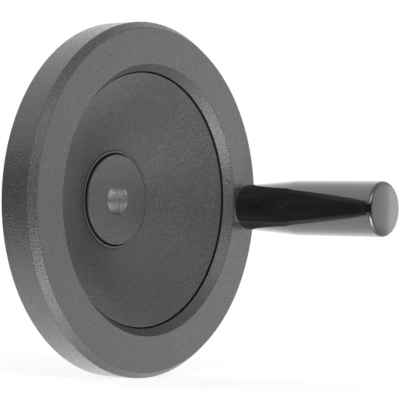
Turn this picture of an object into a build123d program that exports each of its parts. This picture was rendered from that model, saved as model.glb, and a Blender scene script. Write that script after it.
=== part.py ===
from build123d import *
from math import cos, pi, radians, tan
import os

# Disc handwheel with a revolving handle, in millimetres.
# Y is the wheel's axis and the front, with the handle, faces -Y. The origin is the middle of the bore.
# Heights are counted from the rim's front face: towards the handle is positive, towards the shaft negative.

# Rim
wheel_diameter = 140.0
rim_width = 15.7
rim_bevel_radial = 2.35
rim_bevel_axial = 3.05
rim_face_width = 14.15
rim_slope_radial = 2.85
rim_slope_axial = 3.45
rim_back_width = 17.0
rim_back_chamfer = 1.2

# Web: a cone between two turned ring grooves. Its outer edge lies below the foot of the rim's slope,
# and a narrow raised land runs round the inner groove
web_thickness = 5.5
web_corner_chamfer = 2.5
web_edge_drop = 0.7
rim_groove_width = 0.5
rim_groove_depth = 0.9
hub_land_width = 0.85
hub_land_rise = 0.35
hub_groove_width = 0.6
hub_groove_depth = 1.1

# Hub
hub_diameter = 36.0
hub_length = 20.0
hub_recess = 18.0
hub_rise = 1.2
hub_back_chamfer = 0.8
bore_diameter = 12.0
bore_chamfer = 0.3

# Handle: thread, hexagon collar and journal of the spindle
thread_diameter = 8.0
thread_length = 14.0
thread_clearance = 0.05
thread_chamfer = 0.5
tapped_hole_chamfer = 0.5
collar_sides = 6
collar_across_flats = 13.0
collar_height = 1.9
collar_face_diameter = 12.4
collar_corner_angle = 30.0
journal_diameter = 10.0
journal_length = 54.0
journal_chamfer = 0.5

# Retaining ring: sprung flat wire in a groove of the journal
ring_thickness = 1.2
ring_width = 1.2
ring_inner_diameter = 8.6
ring_gap_angle = 30.0
ring_from_journal_end = 4.0
ring_clearance = 0.05
ring_running_clearance = 0.25

# Grip: a straight neck that widens in a cone to a straight body, blended at both ends of the cone
grip_length = 67.2
grip_base_chamfer = 0.5
grip_neck_diameter = 18.7
grip_neck_length = 3.0
grip_neck_blend = 50.0
grip_shoulder_height = 25.6
grip_shoulder_blend = 20.0
grip_body_diameter = 22.1
grip_end_round = 1.6
grip_bore_clearance = 0.05
grip_end_clearance = 1.0
grip_axial_play = 0.25
grip_bore_chamfer = 0.5

# Levels and radii that follow from the sizes above
wheel_radius = wheel_diameter / 2
face_outer_radius = wheel_radius - rim_bevel_radial
face_inner_radius = face_outer_radius - rim_face_width
slope_foot_radius = face_inner_radius - rim_slope_radial
web_outer_radius = slope_foot_radius - rim_groove_width
hub_radius = hub_diameter / 2
land_inner_radius = hub_radius + hub_groove_width
land_outer_radius = land_inner_radius + hub_land_width
land_height = -hub_recess - hub_rise
web_outer_height = -rim_slope_axial - web_edge_drop
web_inner_height = land_height - hub_land_rise
hub_back_height = -hub_recess - hub_length
rim_inner_back_radius = wheel_radius - rim_back_width
bore_radius = bore_diameter / 2
tapped_hole_radius = thread_diameter / 2 + thread_clearance
handle_radius = (face_inner_radius + face_outer_radius) / 2
web_slope = (web_inner_height - web_outer_height) / (land_outer_radius - web_outer_radius)

# The plane of the rim's front face, and the half plane, away from the handle, that holds every turned section
rim_face_y = -hub_recess - hub_length / 2
front = Plane(origin=(0, rim_face_y, 0), x_dir=(1, 0, 0), z_dir=(0, -1, 0))
section = Plane(origin=(0, rim_face_y, 0), x_dir=(-1, 0, 0), z_dir=(0, 0, 1))
handle_origin = (handle_radius, rim_face_y, 0)
handle_front = front.shift_origin(handle_origin)
handle_section = section.shift_origin(handle_origin)
handle_axis = Axis(handle_origin, (0, 1, 0))


def web_back_height(radius):
    """Height of the web's back, which runs parallel to its front."""
    return web_outer_height - web_thickness + web_slope * (radius - web_outer_radius)


def corner(*point):
    """The corner of the section being drawn that lies at this radius and height."""
    return vertices().sort_by_distance(point)[0]


def mouths(radius):
    """The circular edges at both ends of the hole of this radius in the part being built."""
    return edges().filter_by(GeomType.CIRCLE).filter_by(lambda edge: abs(edge.radius - radius) < 1e-6)


# Wheel: one casting, turned to this section, then bored, drilled and tapped
with BuildPart() as wheel:
    with BuildSketch(section):
        with BuildLine():
            Polyline(
                (0, -hub_recess),
                (hub_radius, -hub_recess),
                (hub_radius, land_height),
                (land_outer_radius, land_height),
                (land_outer_radius, web_inner_height),
                (web_outer_radius, web_outer_height),
                (slope_foot_radius, -rim_slope_axial),
                (face_inner_radius, 0),
                (face_outer_radius, 0),
                (wheel_radius, -rim_bevel_axial),
                (wheel_radius, -rim_width),
                (rim_inner_back_radius, -rim_width),
                (rim_inner_back_radius, web_back_height(rim_inner_back_radius)),
                (hub_radius, web_back_height(hub_radius)),
                (hub_radius, hub_back_height),
                (0, hub_back_height),
                close=True,
            )
        make_face()
        with Locations((hub_radius, land_height)):
            Rectangle(
                hub_groove_width,
                hub_groove_depth,
                align=(Align.MIN, Align.MAX),
                mode=Mode.SUBTRACT,
            )
        with Locations((web_outer_radius, -rim_slope_axial)):
            Rectangle(
                rim_groove_width,
                web_edge_drop + rim_groove_depth,
                align=(Align.MIN, Align.MAX),
                mode=Mode.SUBTRACT,
            )
        chamfer(corner(wheel_radius, -rim_width), rim_back_chamfer)
        chamfer(corner(rim_inner_back_radius, -rim_width), rim_back_chamfer)
        chamfer(corner(rim_inner_back_radius, web_back_height(rim_inner_back_radius)), web_corner_chamfer)
        chamfer(corner(hub_radius, web_back_height(hub_radius)), web_corner_chamfer)
        chamfer(corner(hub_radius, hub_back_height), hub_back_chamfer)
    revolve(axis=Axis.Y)
    with Locations(front):
        Hole(bore_radius)
    chamfer(mouths(bore_radius), bore_chamfer)
    with Locations(handle_front):
        Hole(tapped_hole_radius)
    chamfer(mouths(tapped_hole_radius).sort_by(Axis.Y)[-1], tapped_hole_chamfer)
wheel.part.label = "wheel"

# Spindle: tail screwed into the rim, hexagon collar on the rim's face, journal that carries the grip
thread_radius = thread_diameter / 2
journal_radius = journal_diameter / 2
journal_end = collar_height + journal_length
ring_height = journal_end - ring_from_journal_end
ring_inner_radius = ring_inner_diameter / 2
ring_outer_radius = ring_inner_radius + ring_width
collar_corner_radius = collar_across_flats / 2 / cos(pi / collar_sides)
collar_face_radius = collar_face_diameter / 2
collar_corner_drop = (collar_corner_radius - collar_face_radius) * tan(radians(collar_corner_angle))
with BuildPart() as spindle:
    with BuildSketch(handle_section):
        with BuildLine():
            Polyline(
                (0, -thread_length),
                (thread_radius, -thread_length),
                (thread_radius, 0),
                (collar_corner_radius, 0),
                (collar_corner_radius, collar_height - collar_corner_drop),
                (collar_face_radius, collar_height),
                (journal_radius, collar_height),
                (journal_radius, journal_end),
                (0, journal_end),
                close=True,
            )
        make_face()
        with Locations((ring_inner_radius - ring_clearance, ring_height)):
            Rectangle(
                journal_radius,
                ring_thickness + 2 * ring_clearance,
                align=(Align.MIN, Align.CENTER),
                mode=Mode.SUBTRACT,
            )
        chamfer(corner(thread_radius, -thread_length), thread_chamfer)
        chamfer(corner(journal_radius, journal_end), journal_chamfer)
    revolve(axis=handle_axis)
    with BuildSketch(handle_front):
        Circle(2 * collar_corner_radius)
        RegularPolygon(collar_across_flats / 2, collar_sides, major_radius=False, mode=Mode.SUBTRACT)
    extrude(amount=collar_height, mode=Mode.SUBTRACT)
spindle.part.label = "spindle"

# Retaining ring: open ring of flat wire that springs into the journal's groove
with BuildPart() as retaining_ring:
    with BuildSketch(handle_section):
        with Locations((ring_inner_radius, ring_height)):
            Rectangle(ring_width, ring_thickness, align=(Align.MIN, Align.CENTER))
    revolve(axis=handle_axis, revolution_arc=360 - ring_gap_angle)
retaining_ring.part.label = "retaining_ring"

# Grip: waisted sleeve with a closed end, bored blind to run on the journal
grip_base_height = collar_height + grip_axial_play
grip_tip_height = grip_base_height + grip_length
grip_bore_radius = journal_radius + grip_bore_clearance
grip_bore_end = journal_end + grip_end_clearance
grip_neck_radius = grip_neck_diameter / 2
grip_body_radius = grip_body_diameter / 2
neck_end = (grip_neck_radius, grip_base_height + grip_neck_length)
shoulder = (grip_body_radius, grip_base_height + grip_shoulder_height)
with BuildPart() as grip:
    with BuildSketch(handle_section):
        with BuildLine():
            Polyline(
                (0, grip_base_height),
                (grip_neck_radius, grip_base_height),
                neck_end,
                shoulder,
                (grip_body_radius, grip_tip_height),
                (0, grip_tip_height),
                close=True,
            )
        make_face()
        chamfer(corner(grip_neck_radius, grip_base_height), grip_base_chamfer)
        fillet(corner(*neck_end), grip_neck_blend)
        fillet(corner(*shoulder), grip_shoulder_blend)
        fillet(corner(grip_body_radius, grip_tip_height), grip_end_round)
        with Locations((0, grip_base_height)):
            Rectangle(
                grip_bore_radius,
                grip_bore_end - grip_base_height,
                align=(Align.MIN, Align.MIN),
                mode=Mode.SUBTRACT,
            )
        with Locations((0, ring_height)):
            Rectangle(
                ring_outer_radius + ring_running_clearance,
                ring_thickness + 2 * ring_running_clearance,
                align=(Align.MIN, Align.CENTER),
                mode=Mode.SUBTRACT,
            )
        chamfer(corner(grip_bore_radius, grip_base_height), grip_bore_chamfer)
    revolve(axis=handle_axis)
grip.part.label = "grip"

os.makedirs("parts", exist_ok=True)
for piece in (wheel, spindle, retaining_ring, grip):
    export_step(piece.part, f"parts/{piece.part.label}.step")
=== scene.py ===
import math

import bpy
from mathutils import Matrix, Vector


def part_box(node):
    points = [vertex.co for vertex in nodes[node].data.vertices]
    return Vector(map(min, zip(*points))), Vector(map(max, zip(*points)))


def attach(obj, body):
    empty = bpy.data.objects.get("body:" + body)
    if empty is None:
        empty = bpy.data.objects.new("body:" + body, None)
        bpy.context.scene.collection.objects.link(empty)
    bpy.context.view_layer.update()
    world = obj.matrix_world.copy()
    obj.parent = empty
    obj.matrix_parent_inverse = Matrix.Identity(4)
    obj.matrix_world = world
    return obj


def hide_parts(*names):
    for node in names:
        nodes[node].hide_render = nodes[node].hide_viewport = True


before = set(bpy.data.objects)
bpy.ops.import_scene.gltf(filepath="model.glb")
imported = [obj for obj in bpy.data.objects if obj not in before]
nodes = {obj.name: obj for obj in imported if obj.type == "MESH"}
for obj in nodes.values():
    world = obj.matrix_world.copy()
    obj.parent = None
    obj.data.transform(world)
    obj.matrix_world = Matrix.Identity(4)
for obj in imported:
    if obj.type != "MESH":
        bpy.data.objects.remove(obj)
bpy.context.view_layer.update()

scene = bpy.context.scene
scene.view_settings.view_transform = "Standard"

# The object in metres: Y is the wheel's axis, the rim's front face looks to -Y and the handle stands at +X.
# A groove has its inner and outer radius, and the levels between which painted shade darkens it
BORE_RADIUS = 0.006
HUB_GROOVE = (0.0180, 0.0186)
HUB_GROOVE_PAINTED_SHADE_Y = (-0.0092, -0.0075)
LAND_EDGE = 0.01945
RIM_GROOVE = (0.05015, 0.05065)
RIM_GROOVE_PAINTED_SHADE_Y = (-0.02451, -0.0228)
WHEEL_RADIUS = 0.070
RIM_BACK_Y = -0.0123
RIM_BACK_CHAMFER = 0.0012
HANDLE_RADIUS = 0.060575
TAPPED_HOLE_RADIUS = 0.00405
TAPPED_HOLE_CHAMFER = 0.0005
GRIP_TIP_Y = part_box("grip")[0].y
GRIP_FLAT_RADIUS = 0.0094
FLOOR_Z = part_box("wheel")[0].z

# How the edges are broken. In the two bands, and across the hub's groove, one round gives way to the next
RIM_BACK_EDGE_BREAK = 0.00015
GROOVE_EDGE_ROUND = 0.00025
HUB_EDGE_ROUND = 0.001
RIM_EDGE_ROUND = 0.0006
GRIP_EDGE_ROUND = 0.0006
STEEL_EDGE_ROUND = 0.0003
HUB_ROUND_BAND = (0.012, 0.016)
RIM_ROUND_BAND = (0.0484, 0.0490)

# Margins for telling which face a point lies on
SAME_PLACE = 0.00002
BORE_MARGIN = 0.00003
GROOVE_MARGIN = 0.00004
TAPPED_HOLE_MARGIN = 0.0001


# ---------------------------------------------------------------- material building
# The middle of a noise's range, which nearly all of its values lie in
MIDDLE = (0.3, 0.7)
EDGE_SAMPLES = 8


class Graph:
    """Short names for making and joining shader nodes."""

    def __init__(self, tree):
        self.tree = tree
        self.tree.nodes.clear()
        self.place = self.node("ShaderNodeTexCoord").outputs["Object"]

    def node(self, kind, **settings):
        made = self.tree.nodes.new(kind)
        for key, value in settings.items():
            setattr(made, key, value)
        return made

    def join(self, source, target):
        if isinstance(source, bpy.types.NodeSocket):
            self.tree.links.new(source, target)
        else:
            target.default_value = source

    def math(self, operation, *values):
        made = self.node("ShaderNodeMath", operation=operation)
        for socket, value in zip(made.inputs, values):
            self.join(value, socket)
        return made.outputs[0]

    def noise(self, scale, detail=2.0, rough=0.5, place=None):
        made = self.node("ShaderNodeTexNoise")
        self.join(place or self.place, made.inputs["Vector"])
        made.inputs["Scale"].default_value = scale
        made.inputs["Detail"].default_value = detail
        made.inputs["Roughness"].default_value = rough
        return made.outputs["Fac"]

    def streaks(self, scales, detail, rough=0.6):
        """Noise with its own scale along each of x, y and z."""
        made = self.node("ShaderNodeMapping")
        self.join(self.place, made.inputs["Vector"])
        made.inputs["Scale"].default_value = scales
        return self.noise(1.0, detail, rough, place=made.outputs["Vector"])

    def span(self, value, low, high, to_low=0.0, to_high=1.0, smooth=False):
        made = self.node("ShaderNodeMapRange", interpolation_type="SMOOTHSTEP" if smooth else "LINEAR")
        self.join(value, made.inputs["Value"])
        made.inputs["From Min"].default_value = low
        made.inputs["From Max"].default_value = high
        made.inputs["To Min"].default_value = to_low
        made.inputs["To Max"].default_value = to_high
        return made.outputs["Result"]

    def blend(self, factor, first, second, kind="RGBA"):
        """Factor 0 gives first and 1 gives second, for colours or, with the kind FLOAT, for numbers."""
        made = self.node("ShaderNodeMix", data_type=kind)
        first_input, second_input, output = {"FLOAT": (2, 3, 0), "RGBA": (6, 7, 2)}[kind]
        self.join(factor, made.inputs[0])
        self.join(first, made.inputs[first_input])
        self.join(second, made.inputs[second_input])
        return made.outputs[output]

    def bump(self, height, distance, normal):
        made = self.node("ShaderNodeBump")
        made.inputs["Strength"].default_value = 1.0
        made.inputs["Distance"].default_value = distance
        self.join(height, made.inputs["Height"])
        self.join(normal, made.inputs["Normal"])
        return made.outputs["Normal"]

    def edge(self, radius):
        """Normal that takes the sharp edges off by a round of this radius."""
        made = self.node("ShaderNodeBevel", samples=EDGE_SAMPLES)
        self.join(radius, made.inputs["Radius"])
        return made.outputs["Normal"]

    def between(self, value, low, high):
        """1 where the value lies between low and high, else 0."""
        above = self.math("GREATER_THAN", value, low)
        return self.math("MULTIPLY", above, self.math("LESS_THAN", value, high))

    def parts(self):
        """The three coordinates of the point that is shaded."""
        made = self.node("ShaderNodeSeparateXYZ")
        self.join(self.place, made.inputs[0])
        return made.outputs[0], made.outputs[1], made.outputs[2]

    def distance_from(self, first, second, across=(0, 2)):
        """Distance from the line through these two coordinates, x and z unless told otherwise."""
        place = self.parts()
        one = self.math("SUBTRACT", place[across[0]], first)
        two = self.math("SUBTRACT", place[across[1]], second)
        squares = self.math("ADD", self.math("MULTIPLY", one, one), self.math("MULTIPLY", two, two))
        return self.math("SQRT", squares)

    def seen_or_mirrored(self):
        """1 where the camera, a reflection or glass looks at the surface, 0 where it would light another."""
        path = self.node("ShaderNodeLightPath")
        mirrored = self.math("MAXIMUM", path.outputs["Is Glossy Ray"], path.outputs["Is Transmission Ray"])
        return self.math("MAXIMUM", path.outputs["Is Camera Ray"], mirrored)


class Surface(Graph):
    """The nodes of a new material, with one Principled shader."""

    def __init__(self, name):
        self.material = bpy.data.materials.new(name)
        self.material.use_nodes = True
        super().__init__(self.material.node_tree)
        self.shader = self.node("ShaderNodeBsdfPrincipled")
        self.output = self.node("ShaderNodeOutputMaterial")
        self.join(self.shader.outputs["BSDF"], self.output.inputs["Surface"])


def grey(value, warmth=0.0):
    return (value * (1 + warmth), value, value * (1 - warmth), 1.0)


def dress(name, material):
    mesh = nodes[name].data
    mesh.materials.clear()
    mesh.materials.append(material)


# Wheel: semi-matt powder coat on cast and turned aluminium, bare metal in the bore and the tapped hole, and
# painted shade in the hub's and rim's ring groove and down the side of the land
COAT_TONES = (0.052, 0.080)
COAT_CLOUD_TONE = 0.064
COAT_CLOUD_SHARE = 0.3
COAT_SPECKS = (0.56, 0.68)
COAT_SPECK_TONE = 0.15
COAT_SPECK_SHARE = 0.6
COAT_ROUGHNESS = (0.28, 0.32)
COAT_GRAIN_ROUGHNESS = 0.04
COAT_SPECULAR = 0.5
COAT_IOR = 1.5
COAT_GRAIN_HEIGHT = 0.45
COAT_FINE_HEIGHT = 0.55
COAT_RELIEF = 0.00026
# Painted shade in the ring groove at the hub and at the rim: a dark tone, duller and with little specular
PAINTED_GROOVE_SHADE_TONE = 0.012
PAINTED_GROOVE_SHADE_ROUGHNESS = 0.8
PAINTED_GROOVE_SHADE_SPECULAR = 0.12
# Painted shade down the side of the land, as a share of the groove's painted shade
LAND_SIDE_PAINTED_SHADE = 0.7
BARE_TONES = (0.34, 0.70)
BARE_WARMTH = 0.01
BARE_ROUGHNESS = (0.24, 0.42)


def coat_material():
    g = Surface("powder_coat")
    from_axis = g.distance_from(0.0, 0.0)
    fine = g.noise(2100.0, detail=1.0, rough=0.5)
    grain = g.noise(1250.0, detail=2.0, rough=0.55)
    cloud = g.noise(45.0, detail=3.0, rough=0.5)
    tone = g.blend(g.span(grain, *MIDDLE), grey(COAT_TONES[0]), grey(COAT_TONES[1]))
    tone = g.blend(g.span(cloud, *MIDDLE, 0.0, COAT_CLOUD_SHARE), tone, grey(COAT_CLOUD_TONE))
    speck = g.span(fine, *COAT_SPECKS, 0.0, COAT_SPECK_SHARE)
    tone = g.blend(speck, tone, grey(COAT_SPECK_TONE))
    rough = g.span(cloud, *MIDDLE, *COAT_ROUGHNESS)
    rough = g.math("ADD", rough, g.span(grain, *MIDDLE, -COAT_GRAIN_ROUGHNESS, COAT_GRAIN_ROUGHNESS))

    # Painted shade in the hub's and rim's ring groove: dull and dark below their lips, and a line of painted
    # shade down the side of the land beside the web
    _, depth, _ = g.parts()
    hub_ring = g.between(from_axis, HUB_GROOVE[0] - GROOVE_MARGIN, HUB_GROOVE[1] - GROOVE_MARGIN)
    hub_groove_painted_shade = g.math("MULTIPLY", hub_ring, g.between(depth, *HUB_GROOVE_PAINTED_SHADE_Y))
    rim_ring = g.between(from_axis, RIM_GROOVE[0] - GROOVE_MARGIN, RIM_GROOVE[1] + GROOVE_MARGIN)
    rim_groove_painted_shade = g.math("MULTIPLY", rim_ring, g.between(depth, *RIM_GROOVE_PAINTED_SHADE_Y))
    land_side_painted_shade = g.between(from_axis, LAND_EDGE - GROOVE_MARGIN, LAND_EDGE + GROOVE_MARGIN)
    land_side_painted_shade = g.math("MULTIPLY", land_side_painted_shade, LAND_SIDE_PAINTED_SHADE)
    painted_groove_shade = g.math("MAXIMUM", g.math("MAXIMUM", hub_groove_painted_shade, rim_groove_painted_shade), land_side_painted_shade)
    tone = g.blend(painted_groove_shade, tone, grey(PAINTED_GROOVE_SHADE_TONE))
    rough = g.blend(painted_groove_shade, rough, PAINTED_GROOVE_SHADE_ROUGHNESS, kind="FLOAT")
    specular = g.blend(painted_groove_shade, COAT_SPECULAR, PAINTED_GROOVE_SHADE_SPECULAR, kind="FLOAT")

    # Bare metal with turning marks: the bore, and the tapped hole with its chamfer, behind the spindle
    bore = g.math("LESS_THAN", from_axis, BORE_RADIUS + BORE_MARGIN)
    tapped_reach = TAPPED_HOLE_RADIUS + TAPPED_HOLE_CHAMFER + TAPPED_HOLE_MARGIN
    tapped = g.math("LESS_THAN", g.distance_from(HANDLE_RADIUS, 0.0), tapped_reach)
    bare = g.math("MAXIMUM", bore, tapped)
    marks = g.streaks((160.0, 2600.0, 160.0), detail=3.0)
    dark, light = (grey(tone_value, BARE_WARMTH) for tone_value in BARE_TONES)
    tone = g.blend(bare, tone, g.blend(g.span(marks, *MIDDLE), dark, light))
    rough = g.blend(bare, rough, g.span(marks, *MIDDLE, *BARE_ROUGHNESS), kind="FLOAT")

    grain_height = g.math("MULTIPLY", grain, COAT_GRAIN_HEIGHT)
    height = g.math("ADD", grain_height, g.math("MULTIPLY", fine, COAT_FINE_HEIGHT))
    height = g.blend(bare, height, marks, kind="FLOAT")

    # Edges: a fine round at the bore and the land, the widest at the hub's edge and a middling one on the rim
    edge_round = g.span(from_axis, *HUB_ROUND_BAND, GROOVE_EDGE_ROUND, HUB_EDGE_ROUND)
    edge_round = g.blend(g.span(from_axis, *HUB_GROOVE), edge_round, GROOVE_EDGE_ROUND, kind="FLOAT")
    edge_round = g.blend(g.span(from_axis, *RIM_ROUND_BAND), edge_round, RIM_EDGE_ROUND, kind="FLOAT")
    normal = g.bump(height, COAT_RELIEF, g.edge(edge_round))

    g.join(tone, g.shader.inputs["Base Color"])
    g.join(rough, g.shader.inputs["Roughness"])
    g.join(specular, g.shader.inputs["Specular IOR Level"])
    g.join(bare, g.shader.inputs["Metallic"])
    g.join(normal, g.shader.inputs["Normal"])
    g.shader.inputs["IOR"].default_value = COAT_IOR
    return g.material


# Grip: polished black moulded plastic, duller on its closed end, whose slight crown is in the shading
GRIP_TONES = (0.0075, 0.0110)
GRIP_ROUGHNESS = (0.055, 0.13)
GRIP_END_ROUGHNESS = (0.18, 0.24)
GRIP_IOR = 1.8
GRIP_RIPPLE = 0.00002
GRIP_CROWN = 0.0010
GRIP_SMEARS = (0.3, 0.75)


def grip_material():
    g = Surface("black_moulded_plastic")
    _, depth, _ = g.parts()
    from_handle_axis = g.distance_from(HANDLE_RADIUS, 0.0)
    on_end = g.math("LESS_THAN", depth, GRIP_TIP_Y + SAME_PLACE)
    cloud = g.noise(60.0, detail=3.0, rough=0.5)
    tone = g.blend(g.span(cloud, *MIDDLE), grey(GRIP_TONES[0]), grey(GRIP_TONES[1]))
    smear = g.streaks((260.0, 40.0, 260.0), detail=4.0)
    rough = g.span(smear, *GRIP_SMEARS, *GRIP_ROUGHNESS)
    rough = g.blend(on_end, rough, g.span(smear, *GRIP_SMEARS, *GRIP_END_ROUGHNESS), kind="FLOAT")
    ripple = g.noise(170.0, detail=1.0, rough=0.4)
    normal = g.bump(ripple, GRIP_RIPPLE, g.edge(GRIP_EDGE_ROUND))
    crown = g.math("POWER", g.math("DIVIDE", from_handle_axis, GRIP_FLAT_RADIUS), 2.0)
    crown = g.math("MULTIPLY", g.math("MULTIPLY", crown, -1.0), on_end)
    normal = g.bump(crown, GRIP_CROWN, normal)
    g.join(tone, g.shader.inputs["Base Color"])
    g.join(rough, g.shader.inputs["Roughness"])
    g.join(normal, g.shader.inputs["Normal"])
    g.shader.inputs["IOR"].default_value = GRIP_IOR
    return g.material


# Spindle and retaining ring: burnished steel with turning marks
STEEL_STAINS = (0.45, 0.75)
STEEL_STAIN_TONE = 0.8
STEEL_STAIN_WARMTH = 0.04
STEEL_STAIN_SHARE = 0.6
STEEL_RELIEF = 0.00002


def steel_material(name, low_tone, high_tone, low_rough, high_rough):
    g = Surface(name)
    marks = g.streaks((90.0, 7000.0, 90.0), detail=3.0)
    cloud = g.noise(120.0, detail=3.0, rough=0.5)
    tone = g.blend(g.span(marks, *MIDDLE), grey(low_tone), grey(high_tone))
    stain = grey(low_tone * STEEL_STAIN_TONE, STEEL_STAIN_WARMTH)
    tone = g.blend(g.span(cloud, *STEEL_STAINS, 0.0, STEEL_STAIN_SHARE), tone, stain)
    g.join(tone, g.shader.inputs["Base Color"])
    g.join(g.span(cloud, *MIDDLE, low_rough, high_rough), g.shader.inputs["Roughness"])
    g.join(g.bump(marks, STEEL_RELIEF, g.edge(STEEL_EDGE_ROUND)), g.shader.inputs["Normal"])
    g.shader.inputs["Metallic"].default_value = 1.0
    return g.material


def wheel_with_crisp_back(material):
    """The wheel with the rim's outer back corner barely broken, where the solid has its full chamfer."""
    mesh = nodes["wheel"].data.copy()
    for vertex in mesh.vertices:
        place = vertex.co
        radius = math.hypot(place.x, place.z)
        on_outside = abs(radius - WHEEL_RADIUS) < SAME_PLACE
        on_back = abs(place.y - RIM_BACK_Y) < SAME_PLACE
        if on_outside and abs(place.y - RIM_BACK_Y + RIM_BACK_CHAMFER) < SAME_PLACE:
            place.y = RIM_BACK_Y - RIM_BACK_EDGE_BREAK
        elif on_back and abs(radius - WHEEL_RADIUS + RIM_BACK_CHAMFER) < SAME_PLACE:
            growth = (WHEEL_RADIUS - RIM_BACK_EDGE_BREAK) / radius
            place.x *= growth
            place.z *= growth
    mesh.materials.clear()
    mesh.materials.append(material)
    wheel = bpy.data.objects.new("finished_wheel", mesh)
    scene.collection.objects.link(wheel)
    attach(wheel, "handwheel")
    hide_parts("wheel")


wheel_with_crisp_back(coat_material())
dress("grip", grip_material())
dress("spindle", steel_material("spindle_steel", 0.26, 0.42, 0.22, 0.38))
dress("retaining_ring", steel_material("spring_steel", 0.34, 0.50, 0.20, 0.34))

# ---------------------------------------------------------------- camera
CAMERA_PLACE = Vector((-0.611677, -0.519901, -0.024622))
# Turns about X, Y and Z in degrees
CAMERA_ANGLES = (91.85123, -2.09091, -52.60657)
camera_data = bpy.data.cameras.new("camera")
camera_data.lens = 180.0
camera_data.sensor_width = 36.0
camera_data.clip_start = 0.01
camera_data.clip_end = 50.0
camera = bpy.data.objects.new("camera", camera_data)
scene.collection.objects.link(camera)
camera.matrix_world = Matrix.Translation(CAMERA_PLACE) @ (
    Matrix.Rotation(math.radians(CAMERA_ANGLES[2]), 4, "Z")
    @ Matrix.Rotation(math.radians(CAMERA_ANGLES[1]), 4, "Y")
    @ Matrix.Rotation(math.radians(CAMERA_ANGLES[0]), 4, "X")
)
scene.camera = camera

# ---------------------------------------------------------------- studio
CENTRE = Vector((0.01, -0.035, 0.0))
# Straight away from the camera along the ground, counted from +X
CAMERA_HEADING = math.atan2(0.607904, 0.793354)
LAMP_DISTANCE = 1.6
# Power of each square metre of a lamp whose face looks as bright as white
LAMP_POWER = 4.0
CURTAIN_DISTANCE = 1.8
CURTAIN_PANELS = 24
FELT_TONES = (0.004, 0.008)


def direction(heading, elevation):
    """Unit vector, with the heading in degrees to the right of straight away from the camera."""
    turn = CAMERA_HEADING - math.radians(heading)
    lift = math.radians(elevation)
    return Vector((math.cos(turn) * math.cos(lift), math.sin(turn) * math.cos(lift), math.sin(lift)))


def facing_centre(heading, elevation, distance):
    place = CENTRE + direction(heading, elevation) * distance
    return Matrix.Translation(place) @ (CENTRE - place).to_track_quat("-Z", "Y").to_matrix().to_4x4()


def spread_over(angle, distance):
    """Width at this distance that fills this angle, in degrees."""
    return 2 * distance * math.tan(math.radians(angle / 2))


def hide_from(piece, *rays):
    for ray in rays:
        setattr(piece, "visible_" + ray, False)


def soft_box(name, heading, elevation, wide, high, brightness, distance=LAMP_DISTANCE):
    """Rectangular lamp that faces the object, with its place and size as angles and white as brightness 1."""
    data = bpy.data.lights.new("soft_box_" + name, "AREA")
    data.shape = "RECTANGLE"
    data.size = spread_over(wide, distance)
    data.size_y = spread_over(high, distance)
    data.energy = LAMP_POWER * data.size * data.size_y * brightness
    lamp = bpy.data.objects.new("soft_box_" + name, data)
    scene.collection.objects.link(lamp)
    lamp.matrix_world = facing_centre(heading, elevation, distance)
    lamp.visible_camera = False


def curtain(name, first, last, half_height):
    """Black curtain round the object between two headings, which shows only in what the object mirrors."""
    rise = Vector((0, 0, CURTAIN_DISTANCE * math.tan(math.radians(half_height))))
    corners = []
    for step in range(CURTAIN_PANELS + 1):
        heading = first + (last - first) * step / CURTAIN_PANELS
        middle = CENTRE + direction(heading, 0.0) * CURTAIN_DISTANCE
        corners += [middle - rise, middle + rise]
    faces = [(i, i + 1, i + 3, i + 2) for i in range(0, 2 * CURTAIN_PANELS, 2)]
    mesh = bpy.data.meshes.new("curtain_" + name)
    mesh.from_pydata(corners, [], faces)
    cloth = bpy.data.objects.new("curtain_" + name, mesh)
    scene.collection.objects.link(cloth)
    hide_from(cloth, "camera", "diffuse", "transmission", "volume_scatter", "shadow")
    g = Surface("black_felt")
    felt = g.blend(g.noise(40.0), grey(FELT_TONES[0]), grey(FELT_TONES[1]))
    g.join(felt, g.shader.inputs["Base Color"])
    g.shader.inputs["Roughness"].default_value = 1.0
    mesh.materials.append(g.material)


soft_box("front_low", 162, -44, 42, 32, 5.0)
soft_box("below", 180, -76, 60, 30, 1.2)
soft_box("front_high", 166, 35, 42, 28, 2.2)
soft_box("left_high", -52, 46, 100, 44, 0.58)
soft_box("left_low", -52, -46, 100, 44, 0.68)
soft_box("back_right", 50, 0, 30, 30, 0.74, distance=0.8)
soft_box("right", 96, 4, 76, 30, 0.5)
soft_box("right_high", 72, 34, 24, 28, 0.25, distance=0.55)
curtain("front", 104, 312, 16)

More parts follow.
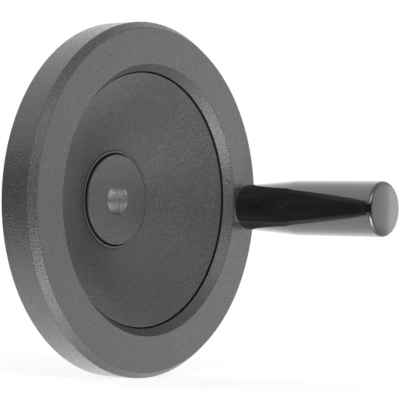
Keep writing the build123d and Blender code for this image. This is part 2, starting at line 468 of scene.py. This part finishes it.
# World: the white of the backdrop, which metal and gloss show as well, and little other light
WORLD_FILL = 0.1
world = bpy.data.worlds.new("studio")
world.use_nodes = True
scene.world = world
g = Graph(world.node_tree)
background = g.node("ShaderNodeBackground")
background.inputs["Color"].default_value = (1, 1, 1, 1)
g.join(g.math("MAXIMUM", g.seen_or_mirrored(), WORLD_FILL), background.inputs["Strength"])
g.join(background.outputs[0], g.node("ShaderNodeOutputWorld").inputs["Surface"])

# Floor: pale, under the rim, with the object's shadow on it. Away from the object it fades to the backdrop's
# white. It lights nothing, reflections don't show it, and it is see-through from below
FLOOR_REACH = 40.0
FLOOR_TONE = 0.5
FLOOR_MOTTLE = 0.98
FLOOR_GLOW = 0.8
FLOOR_FADE = (0.12, 0.9)
floor_mesh = bpy.data.meshes.new("floor")
corners = [(x * FLOOR_REACH, y * FLOOR_REACH, FLOOR_Z) for x, y in ((-1, -1), (1, -1), (1, 1), (-1, 1))]
floor_mesh.from_pydata(corners, [], [(0, 1, 2, 3)])
floor = bpy.data.objects.new("floor", floor_mesh)
scene.collection.objects.link(floor)
hide_from(floor, "diffuse", "glossy", "transmission", "volume_scatter", "shadow")
g = Surface("pale_floor")
floor_mesh.materials.append(g.material)
away = g.span(g.distance_from(CENTRE.x, CENTRE.y, across=(0, 1)), *FLOOR_FADE, smooth=True)
near_tone = g.blend(g.noise(30.0), grey(FLOOR_TONE * FLOOR_MOTTLE), grey(FLOOR_TONE))
g.join(g.blend(away, near_tone, grey(0.0)), g.shader.inputs["Base Color"])
g.shader.inputs["Specular IOR Level"].default_value = 0.0
g.shader.inputs["Emission Color"].default_value = (1, 1, 1, 1)
glow = g.blend(away, FLOOR_GLOW, 1.0, kind="FLOAT")
g.join(g.math("MULTIPLY", glow, g.seen_or_mirrored()), g.shader.inputs["Emission Strength"])
sides = g.node("ShaderNodeMixShader")
g.join(g.node("ShaderNodeNewGeometry").outputs["Backfacing"], sides.inputs[0])
g.join(g.shader.outputs["BSDF"], sides.inputs[1])
g.join(g.node("ShaderNodeBsdfTransparent").outputs[0], sides.inputs[2])
g.join(sides.outputs[0], g.output.inputs["Surface"])
